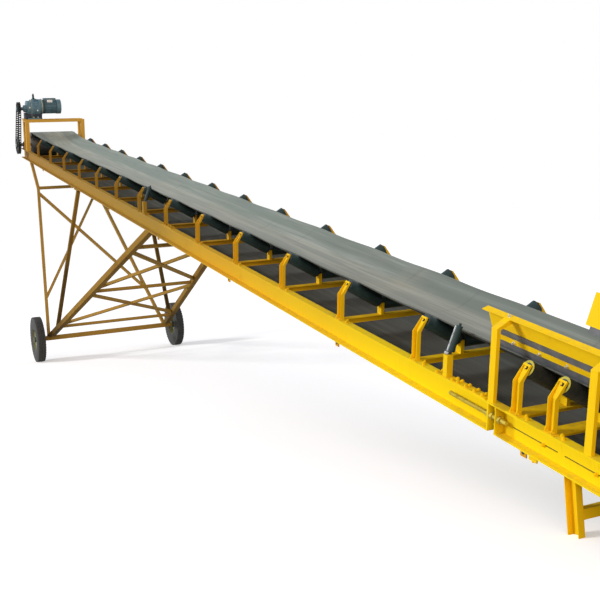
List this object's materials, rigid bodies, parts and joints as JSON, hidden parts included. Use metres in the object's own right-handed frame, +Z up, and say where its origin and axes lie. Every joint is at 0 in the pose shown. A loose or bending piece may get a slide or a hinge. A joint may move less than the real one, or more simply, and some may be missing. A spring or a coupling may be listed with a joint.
{
  "type": "portable belt conveyor",
  "caption": "Inclined troughed-belt conveyor on channel stringers, carried by a braced leg frame on road wheels, with a chain drive at the head and loading skirts at the tail.",
  "frame": {"origin": "on the ground, at the middle of the machine's length and width", "axes": "+X along the ground towards the low loading end, +Y to the right of the belt's travel, +Z up"},
  "size_m": [18.9371, 2.7314, 5.2532],
  "materials": {
    "yellow_paint": "satin",
    "belt_rubber": "matt",
    "skirt_rubber": "matt",
    "roller_paint": "satin",
    "impact_rubber": "matt",
    "tyre": "matt",
    "rim_paint": "satin",
    "hub_iron": "matt",
    "bearing_iron": "matt",
    "drive_paint": "satin",
    "chain_steel": "oily",
    "zinc_steel": "satin",
    "drum_steel": "worn"
  },
  "bodies": {
    "frame": {"axle_beam": "yellow_paint", "belt": "belt_rubber", "centre_rollers": "roller_paint", "chain_sprockets": "chain_steel", "deck_posts": "yellow_paint", "drive_chain": "chain_steel", "drive_gantry": "yellow_paint", "edge_guide_posts": "yellow_paint", "edge_guide_rollers": "roller_paint", "front_leg_braces": "yellow_paint", "gear_reducer": "drive_paint", "head_bearings": "bearing_iron", "head_drum": "drum_steel", "idler_frames": "yellow_paint", "impact_rollers": "impact_rubber", "left_front_leg": "yellow_paint", "left_main_leg": "yellow_paint", "left_main_stringer": "yellow_paint", "main_leg_braces": "yellow_paint", "motor": "drive_paint", "motor_fan_cowl": "drive_paint", "return_roller_hangers": "yellow_paint", "return_rollers": "roller_paint", "right_front_leg": "yellow_paint", "right_main_leg": "yellow_paint", "right_main_stringer": "yellow_paint", "skirt_back_plate": "yellow_paint", "skirt_boards": "yellow_paint", "skirt_clamp_bars": "yellow_paint", "skirt_posts": "yellow_paint", "skirt_rubbers": "skirt_rubber", "splice_plates": "yellow_paint", "tail_bearings": "bearing_iron", "tail_cross_member": "yellow_paint", "tail_drum": "drum_steel", "tail_legs": "yellow_paint", "tail_stringers": "yellow_paint", "take_up_screws": "zinc_steel", "wing_rollers": "roller_paint"},
    "left_wheel": {"left_tyre": "tyre", "left_wheel_hub": "hub_iron", "left_wheel_rim": "rim_paint"},
    "right_wheel": {"right_tyre": "tyre", "right_wheel_hub": "hub_iron", "right_wheel_rim": "rim_paint"}
  },
  "joints": [
    {"name": "left_wheel_spin", "type": "hinge", "parent": "frame", "child": "left_wheel", "pos_m": [-5.55908, -1.29, 0.41], "axis": [0, 1, 0], "continuous": true},
    {"name": "right_wheel_spin", "type": "hinge", "parent": "frame", "child": "right_wheel", "pos_m": [-5.55908, 1.29, 0.41], "axis": [0, 1, 0], "continuous": true}
  ]
}
